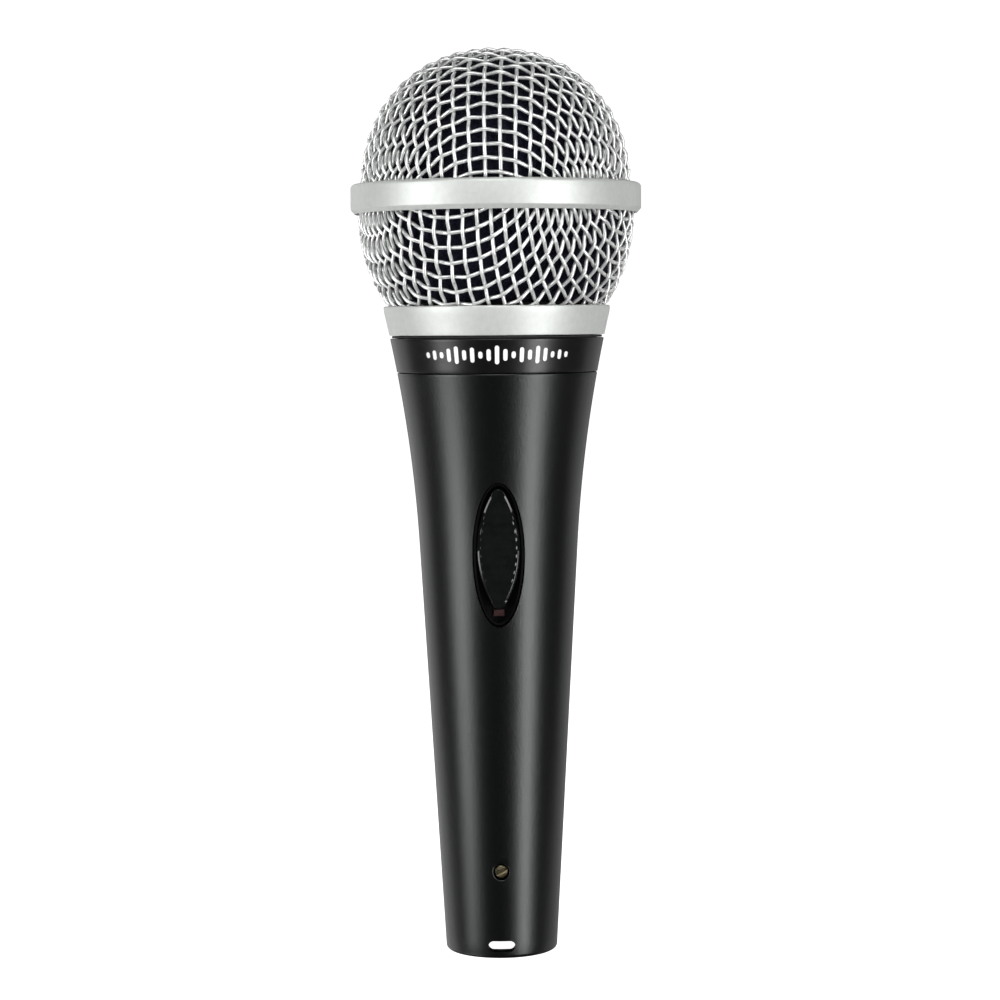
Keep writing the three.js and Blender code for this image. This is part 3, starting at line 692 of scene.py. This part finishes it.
def tubes(name, paths, radius):
    """One mesh of closed round tubes along paths of (point, normal)."""
    vertices, faces = [], []
    for path in paths:
        points = np.array([p for p, _ in path])
        normals = np.array([n for _, n in path])
        ahead = np.gradient(points, axis=0)
        ahead /= np.linalg.norm(ahead, axis=1)[:, None]
        side = np.cross(ahead, normals)
        side /= np.linalg.norm(side, axis=1)[:, None]
        up = np.cross(side, ahead)
        base = len(vertices)
        for k in range(WIRE_SIDES):
            angle = TAU * k / WIRE_SIDES
            vertices.extend((points + radius * (math.cos(angle) * up + math.sin(angle) * side)).tolist())
        count = len(points)
        for k in range(WIRE_SIDES):
            n = (k + 1) % WIRE_SIDES
            for s in range(count - 1):
                a, b = base + k * count + s, base + n * count + s
                faces.append([a, a + 1, b + 1, b])
        faces.append([base + k * count for k in range(WIRE_SIDES)])
        faces.append([base + k * count + count - 1 for k in range(WIRE_SIDES)][::-1])
    return new_object(name, vertices, faces, 60.0)


def dome_surface(inset):
    """The dome's middle layer, a little squarer than an ellipsoid, for wire_paths."""
    a, b = DOME_RADIUS - inset, DOME_RISE - inset

    def surface(unit):
        rho, z = math.hypot(unit[0], unit[1]), unit[2]
        if z < 0:
            # Below its widest circle the dome goes straight down to its rim.
            scale = a / rho
            point = np.array([unit[0] * scale, unit[1] * scale, DOME_CENTRE + z * b])
            return point, np.array([unit[0] / rho, unit[1] / rho, 0.0])
        size = ((rho / a) ** DOME_POWER + (z / b) ** DOME_POWER) ** (-1 / DOME_POWER)
        local = unit * size
        slope_r = (rho * size / a) ** (DOME_POWER - 1) / a
        slope_z = (z * size / b) ** (DOME_POWER - 1) / b
        flat = np.array([unit[0], unit[1], 0.0]) / max(rho, 1e-9)
        normal = flat * slope_r + np.array([0.0, 0.0, slope_z])
        return local + [0, 0, DOME_CENTRE], normal / np.linalg.norm(normal)

    return surface


def bowl_surface(inset):
    """The same for the bowl, an ellipsoid's lower half, where the net's pole hangs downwards."""
    a, b = BOWL_RADIUS - inset, BOWL_DEPTH - inset

    def surface(unit):
        rho, z = math.hypot(unit[0], unit[1]), unit[2]
        size = ((rho / a) ** 2 + (z / b) ** 2) ** -0.5
        local = unit * size
        normal = np.array([local[0] / a**2, local[1] / a**2, local[2] / b**2])
        normal /= np.linalg.norm(normal)
        return np.array([local[0], local[1], BOWL_CENTRE - local[2]]), normal * [1, 1, -1]

    return surface


NET_REACH = 18
DOME_TURN = math.radians(-4)
DOME_LEAN = (0.043, -0.039)
BOWL_TURN = math.radians(-20)
DOME_LOWEST = 146.6
BOWL_LOWEST = 124.3
BOWL_HIGHEST = 144.6


def make_mesh():
    middle = MESH_DEPTH / 2
    # The cloth's main threads run up the front, turned a little to the left.
    quarter = -math.pi / 2
    radius = DOME_RADIUS - middle
    net = chebyshev_net(DOME_ROW_PITCH / radius, WIRE_PITCH / radius, NET_REACH)
    surface = dome_surface(middle)
    turn = quarter + DOME_TURN
    paths = wire_paths(net, NET_REACH, surface, turn, DOME_LEAN, lambda z: z > DOME_LOWEST)
    dress(tubes("wire_dome", paths, WIRE / 2), "grille_head", "mesh_wire", "upper_mesh")

    step = WIRE_PITCH / (BOWL_RADIUS + 0.4 - middle)
    net = chebyshev_net(step, step, NET_REACH)
    surface = bowl_surface(middle)
    turn = quarter + BOWL_TURN
    paths = wire_paths(net, NET_REACH, surface, turn, (0, 0), lambda z: BOWL_LOWEST < z < BOWL_HIGHEST)
    dress(tubes("wire_bowl", paths, WIRE / 2), "grille_head", "mesh_wire", "lower_mesh")


make_mesh()


RING_MOUTH = 26.95
RING_GROOVE = 27.2
RING_LAND = 25.0
RING_UPPER_MOUTH = 26.4


def make_ring():
    """A band with a groove for the rim of each mesh and a land between the two."""
    corners = [
        (RING_MOUTH, RING_BOTTOM, 0.1),
        (RING_RADIUS - 0.75, RING_BOTTOM, 0.12),
        (RING_RADIUS, RING_BOTTOM + 0.85, 0.35),
        (RING_RADIUS, RING_TOP - 0.05, 0.8),
        (RING_RADIUS - 1.0, RING_TOP, 0.2),
        (RING_UPPER_MOUTH, RING_TOP, 0.12),
        (RING_UPPER_MOUTH, 147.7, 0),
        (RING_GROOVE, 147.7, 0),
        (RING_GROOVE, 146.1, 0),
        (RING_LAND, 146.1, 0),
        (RING_LAND, 145.6, 0),
        (RING_GROOVE, 145.6, 0),
        (RING_GROOVE, 143.9, 0),
        (RING_MOUTH, 143.9, 0),
    ]
    return dress(lathe("ring_silver", filleted(corners)), "grille_head", "satin_silver", "waist_ring")


def make_collar():
    top = body_radius(COLLAR_TOP) - 0.15
    flank = [(body_radius(z), z, 0) for z in np.linspace(COLLAR_BOTTOM + 0.6, 124.2, 10)]
    corners = [
        (COLLAR_BORE, COLLAR_BOTTOM, 0.1),
        (body_radius(COLLAR_BOTTOM), COLLAR_BOTTOM, 0.2),
        *flank,
        (top, COLLAR_TOP, 0.35),
        (21.5, COLLAR_TOP, 0.1),
        (20.4, 123.5, 0),
        (COLLAR_BORE, 123.5, 0),
    ]
    profile = filleted(corners)
    thread = [(COLLAR_BORE, 123.4 - 0.08 * k) for k in range(44)]

    def collar_radius(angle, radius, height):
        """Adds the inner thread's ridge, which runs halfway between the spigot's turns."""
        if abs(radius - COLLAR_BORE) > 0.01 or not 119.9 < height < 123.45:
            return radius
        ends = min(1.0, max(0.0, (height - 119.95) / 0.4), max(0.0, (123.4 - height) / 0.4))
        return radius - thread_ridge(angle, height - THREAD_START - THREAD_PITCH / 2) * ends

    made = lathe("collar_silver", profile + thread, radius_at=collar_radius)
    return dress(made, "grille_head", "satin_silver", "grille_collar")


WASHER_BORE = 18.25
WASHER_RADIUS = 20.3


def make_washer():
    low, high = BAND_TOP + 0.1, COLLAR_BOTTOM - 0.1
    corners = [
        (WASHER_BORE, low, 0.1),
        (WASHER_RADIUS, low, 0.12),
        (WASHER_RADIUS, high, 0.12),
        (WASHER_BORE, high, 0.1),
    ]
    return dress(lathe("washer_black", filleted(corners)), "grille_washer", "rubber", "grille_washer")


make_ring()
make_collar()
make_washer()

# ------------------------------------------------------------------ foam lining

PORE_SCALE = 900.0
PORE_DEPTH = 0.16
DOME_FOAM_INSET = 1.8
BOWL_FOAM_INSET = 2.1
DOME_FOAM_RIM = 146.4
BOWL_FOAM_RIM = 145.5
FOAM_BOTTOM = 126.0


def foam(name, profile, node):
    """A lathe surface pitted inwards by open-cell pores."""
    made = lathe(name, profile, 200, 80.0)
    mesh = made.data
    normals = [v.normal.copy() for v in mesh.vertices]
    for vertex, normal in zip(mesh.vertices, normals):
        pit = noise.noise(vertex.co * PORE_SCALE) + 0.5 * noise.noise(vertex.co * PORE_SCALE * 2.3)
        vertex.co -= normal * (PORE_DEPTH * MM * max(0.0, 0.5 + pit))
    dress(made, "grille_head", "foam", node)
    return made


def make_foam():
    thick = FOAM_THICKNESS
    outer, rise = DOME_RADIUS - DOME_FOAM_INSET, DOME_RISE - DOME_FOAM_INSET
    curve = [
        (outer * math.cos(t) ** (2 / DOME_POWER), DOME_CENTRE + rise * math.sin(t) ** (2 / DOME_POWER))
        for t in np.linspace(0, math.pi / 2 - 0.02, 60)
    ]
    inner = [
        ((outer - thick) * r / outer, DOME_CENTRE + (z - DOME_CENTRE) * (rise - thick) / rise)
        for r, z in reversed(curve)
    ]
    rim = [(outer - thick, DOME_FOAM_RIM), (outer, DOME_FOAM_RIM)]
    top = DOME_CENTRE + rise
    foam("foam_dome", [(0.0, top - thick), *inner, *rim, *curve, (0.0, top)], "foam_cap")

    outer, depth = BOWL_RADIUS - BOWL_FOAM_INSET, BOWL_DEPTH - BOWL_FOAM_INSET
    lowest = math.asin((BOWL_CENTRE - FOAM_BOTTOM) / depth)
    curve = [(outer * math.cos(t), BOWL_CENTRE - depth * math.sin(t)) for t in np.linspace(lowest, 0, 40)]
    inner = [((outer - thick) * r / outer, z) for r, z in reversed(curve)]
    rim = [(outer, BOWL_FOAM_RIM), (outer - thick, BOWL_FOAM_RIM)]
    foam("foam_bowl", [*curve, *rim, *inner], "foam_skirt")


make_foam()

# ------------------------------------------------------------------ switch

RIB_COUNT = 8
RIB_PITCH = 1.57
RIB_CENTRE = -0.5
RIB_RISE = 0.11
SLIDER_TOP = -0.2
SLIDER_LOW = -1.9
TIP_RADIUS = 1.3
CHAMFER = 0.44
CHAMFER_DROP = 0.22
EDGE_ROUND = 0.12
EDGE_DROP = 0.16
CROWN_ACROSS = 0.012
CROWN_ALONG = 0.0012
GRIP_ZONE = (0.4, 6.4)
TIP_ZONE = (SLIDER_HALF_LENGTH - 1.7, SLIDER_HALF_LENGTH - 0.9)
FORK_PLACE = 1.35
POST_PLACE = 13.5


def smooth_step(value, low, high):
    share = min(1.0, max(0.0, (value - low) / (high - low)))
    return share * share * (3 - 2 * share)


def slider_height(y, x, edge):
    """The slider's top, crowned across and along, with low finger ribs in its middle zone and a
    chamfer, which is steeper beside the grip and fades at the tips. edge is the distance in from
    the outline."""
    top = SLIDER_TOP - CROWN_ACROSS * x * x - CROWN_ALONG * y * y
    along = (y - RIB_CENTRE) / RIB_PITCH + (RIB_COUNT - 1) / 2
    if -0.5 < along < RIB_COUNT - 0.5:
        room = smooth_step(edge, CHAMFER + 0.1, CHAMFER + 0.4)
        top += RIB_RISE * (0.5 + 0.5 * math.cos(TAU * along)) * room
    if edge < CHAMFER:
        low, high = GRIP_ZONE
        grip = smooth_step(y, low - 1, low) - smooth_step(y, high, high + 1)
        tip = smooth_step(abs(y), *TIP_ZONE)
        top -= CHAMFER_DROP * (1 + 1.4 * grip) * (1 - 0.8 * tip) * (1 - edge / CHAMFER)
    if edge < EDGE_ROUND:
        top -= EDGE_DROP * (1 - edge / EDGE_ROUND) ** 2
    return top


def edge_distance(x, y):
    """The distance in from the slider's outline: to its nearer long arc, or inside a rounded tip."""
    centre = SLIDER_HALF_LENGTH - TIP_RADIUS
    side = (SLIDER_HALF_WIDTH**2 - TIP_RADIUS**2 + centre**2) / (2 * (SLIDER_HALF_WIDTH - TIP_RADIUS))
    offset = side - SLIDER_HALF_WIDTH
    if math.atan2(abs(y) - centre, abs(x)) > math.atan2(centre, offset):
        return TIP_RADIUS - math.hypot(x, abs(y) - centre)
    return side - math.hypot(abs(x) + offset, y)


def make_slider():
    """A grid over the top, walls down to a flat underside, and the two fork legs."""
    rows, columns = 300, 56
    vertices, faces = [], []
    ys = [SLIDER_HALF_LENGTH * math.sin(math.pi / 2 * t) for t in np.linspace(-0.9985, 0.9985, rows)]
    grid = []
    for y in ys:
        half = lens_half_width(y, SLIDER_HALF_WIDTH, SLIDER_HALF_LENGTH, TIP_RADIUS)
        row = []
        for t in np.linspace(-1, 1, columns):
            x = half * math.copysign(1 - (1 - abs(t)) ** 2, t)
            row.append(len(vertices))
            vertices.append((x, y, slider_height(y, x, edge_distance(x, y))))
        grid.append(row)
    for a, b in zip(grid, grid[1:]):
        for k in range(columns - 1):
            faces.append([a[k], a[k + 1], b[k + 1], b[k]])
    rim = grid[0] + [r[-1] for r in grid[1:-1]] + grid[-1][::-1] + [r[0] for r in grid[-2:0:-1]]
    low = []
    for i in rim:
        x, y, _ = vertices[i]
        low.append(len(vertices))
        vertices.append((x, y, SLIDER_LOW))
    for k in range(len(rim)):
        n = (k + 1) % len(rim)
        faces.append([rim[k], low[k], low[n], rim[n]])
    faces.append(low[::-1])
    cap = new_object("slider_cap", vertices, faces, 32.0)
    for y in (-FORK_PLACE, FORK_PLACE):
        boolean(cap, prism("leg_tool", rectangle(1.8, 0.8, y), -4.6, SLIDER_LOW + 0.3), "UNION")
    place(cap, SWITCH_FRAME @ Matrix.Translation((0, SLIDER_REST, 0)))
    return dress(cap, "switch_slider", "slider_plastic", "switch_slider")


def make_bezel():
    """A tray with a well for the slider, a back flange, two posts and an opening for the stem."""
    outline = oval(POCKET_LENGTH - 0.5, POCKET_WIDTH - 0.5, 128)
    tray = prism("bezel_tray", outline, TRAY_BASE, TRAY_RIM)
    boolean(tray, prism("plate_tool", rectangle(12, 32), TRAY_BASE, TRAY_BASE + 0.8), "UNION")
    for y in (-POST_PLACE, POST_PLACE):
        post = prism("post_tool", circle(1.8, 32), -10.0, TRAY_BASE + 0.6)
        boolean(tray, place(post, Matrix.Translation((0, y, 0))), "UNION")
    well = oval(POCKET_LENGTH - 1.3, POCKET_WIDTH - 1.3, 128)
    boolean(tray, prism("well_tool", well, POCKET_FLOOR, 0))
    boolean(tray, prism("stem_tool", rectangle(2.6, 7.2, -0.15), -6, 0))
    place(tray, SWITCH_FRAME)
    return dress(tray, "handle", "black_plastic", "switch_bezel")


make_slider()
make_bezel()

# ------------------------------------------------------------------ connector


def make_insert():
    radius, top = SOCKET_RADIUS - 0.3, SOCKET_TOP - 0.3
    corners = [(0, INSERT_FACE, 0), (radius, INSERT_FACE, 0.3), (radius, top, 0.2), (0, top, 0)]
    made = lathe("insert_black", filleted(corners, closed=False), 96)
    for x, y in PIN_PLACES:
        tool = prism("pin_hole_tool", circle(PIN_RADIUS + 0.25, 32), INSERT_FACE - 1.5, SOCKET_TOP + 1)
        boolean(made, place(tool, Matrix.Translation((x, y, 0))))
    bore = prism("screw_bore_tool", circle(INSERT_SCREW_RADIUS + 0.2, 32), 5.2, 10)
    boolean(made, place(bore, front_frame(INSERT_SCREW_HEIGHT)))
    return dress(made, "handle", "black_plastic", "connector_insert")


def make_pins():
    """Round-nosed pins with a solder cup in their inner ends."""
    cup_floor = PIN_TOP - PIN_CUP_DEPTH
    corners = [
        (0, PIN_TIP, 0),
        (PIN_RADIUS, PIN_TIP, 0.75),
        (PIN_RADIUS, PIN_TOP, 0.1),
        (PIN_CUP_RADIUS, PIN_TOP, 0.05),
        (PIN_CUP_RADIUS, cup_floor, 0.2),
        (0, cup_floor, 0),
    ]
    profile = filleted(corners, closed=False)
    for i, (x, y) in enumerate(PIN_PLACES):
        pin = lathe(f"pin_round_{i + 1}", profile, 48)
        place(pin, Matrix.Translation((x, y, 0)))
        dress(pin, "handle", "steel", f"connector_pin_{i + 1}")


def make_screw():
    outer = body_radius(INSERT_SCREW_HEIGHT) - 0.8
    inner = 5.5
    corners = [
        (0, inner, 0),
        (INSERT_SCREW_RADIUS, inner, 0.1),
        (INSERT_SCREW_RADIUS, outer - 0.12, 0.1),
        (INSERT_SCREW_RADIUS - 0.25, outer, 0.08),
        (0, outer, 0),
    ]
    screw = lathe("lock_screw", filleted(corners, closed=False), 48)
    slot = prism("slot_tool", rectangle(4, 0.6), outer - 0.6, outer - 0.03, 0.08)
    boolean(screw, place(slot, Matrix.Rotation(math.radians(28), 4, "Z")))
    place(screw, front_frame(INSERT_SCREW_HEIGHT))
    return dress(screw, "handle", "brass", "insert_screw")


make_insert()
make_pins()
make_screw()

# ------------------------------------------------------------------ CAD pieces that stay

SLOT_OF = {row["node"]: row["material_slot"] for row in frame["record"]["subparts"]}
for node_name, node in frame["nodes"].items():
    node.data.materials.clear()
    node.data.materials.append(FINISH[SLOT_OF[node_name]])
    if not node.hide_render:
        node.data.shade_smooth()
        node.data.set_sharp_from_angle(angle=math.radians(35))

# ------------------------------------------------------------------ stage and light

WHITE = 1.1
FLOOR_LIGHT = 0.1
WORLD_LIGHT = 0.03


def camera_ray_strength(tree, seen, lit):
    """A strength socket that is one value for the camera's own view and another for all light."""
    rays = tree.nodes.new("ShaderNodeLightPath")
    span = tree.nodes.new("ShaderNodeMapRange")
    span.inputs["To Min"].default_value = lit
    span.inputs["To Max"].default_value = seen
    tree.links.new(rays.outputs["Is Camera Ray"], span.inputs["Value"])
    return span.outputs["Result"]


def stage_floor():
    """A pale floor, lit from below like a light table, so that it stays white round the handle."""
    bpy.ops.mesh.primitive_circle_add(vertices=96, radius=6.0, fill_type="NGON")
    floor = bpy.context.active_object
    floor.name = "floor"
    made = Nodes("floor_white")
    made.set(base_color=(0.8, 0.8, 0.8, 1), roughness=0.9, specular_ior_level=0.0)
    made.link(camera_ray_strength(made.tree, WHITE, FLOOR_LIGHT), made.shader.inputs["Emission Strength"])
    made.shader.inputs["Emission Color"].default_value = (1, 1, 1, 1)
    floor.data.materials.append(made.material)
    floor.visible_glossy = False
    floor.visible_shadow = False


def softbox(name, azimuth, low, high, distance, width, radiance):
    """An upright light panel that faces the handle's axis. Azimuth 0 is the switch's side (-Y), and
    it grows towards +X."""
    data = bpy.data.lights.new(name, "AREA")
    data.shape = "RECTANGLE"
    data.size, data.size_y = width, high - low
    data.energy = radiance * math.pi * width * (high - low)
    lamp = bpy.data.objects.new(name, data)
    bpy.context.scene.collection.objects.link(lamp)
    a = math.radians(azimuth)
    away = Vector((math.sin(a), -math.cos(a), 0))
    lamp.location = away * distance + Vector((0, 0, (low + high) / 2))
    lamp.rotation_mode = "QUATERNION"
    lamp.rotation_quaternion = away.to_track_quat("Z", "Y")
    lamp.visible_camera = False
    return lamp


def stage_world():
    world = bpy.data.worlds.new("studio")
    bpy.context.scene.world = world
    world.use_nodes = True
    back = world.node_tree.nodes["Background"]
    back.inputs["Color"].default_value = (1, 1, 1, 1)
    strength = camera_ray_strength(world.node_tree, WHITE, WORLD_LIGHT)
    world.node_tree.links.new(strength, back.inputs["Strength"])


stage_floor()
stage_world()
softbox("strip_left", -59, -0.26, 0.5, 0.9, 0.38, 5.8)
softbox("strip_right", 46, -0.45, 0.5, 0.9, 0.3, 7.6)
softbox("back_left", -140, -0.5, 0.9, 0.9, 0.8, 0.75)
softbox("back_right", 140, -0.5, 0.9, 0.9, 0.8, 0.42)
softbox("low_left", -112, -0.7, -0.22, 0.9, 0.45, 0.7)
softbox("low_right", 108, -0.7, -0.22, 0.9, 0.45, 0.35)
softbox("under_left", -72, -0.75, -0.4, 0.6, 0.5, 2.2)
above = softbox("above", 0, -0.4, 0.4, 0.9, 0.6, 2.8)
above.location = (0, -0.65, 0.8)
above.rotation_quaternion = Vector((0, -0.65, 0.65)).to_track_quat("Z", "Y")

bpy.context.scene.view_settings.view_transform = "Standard"
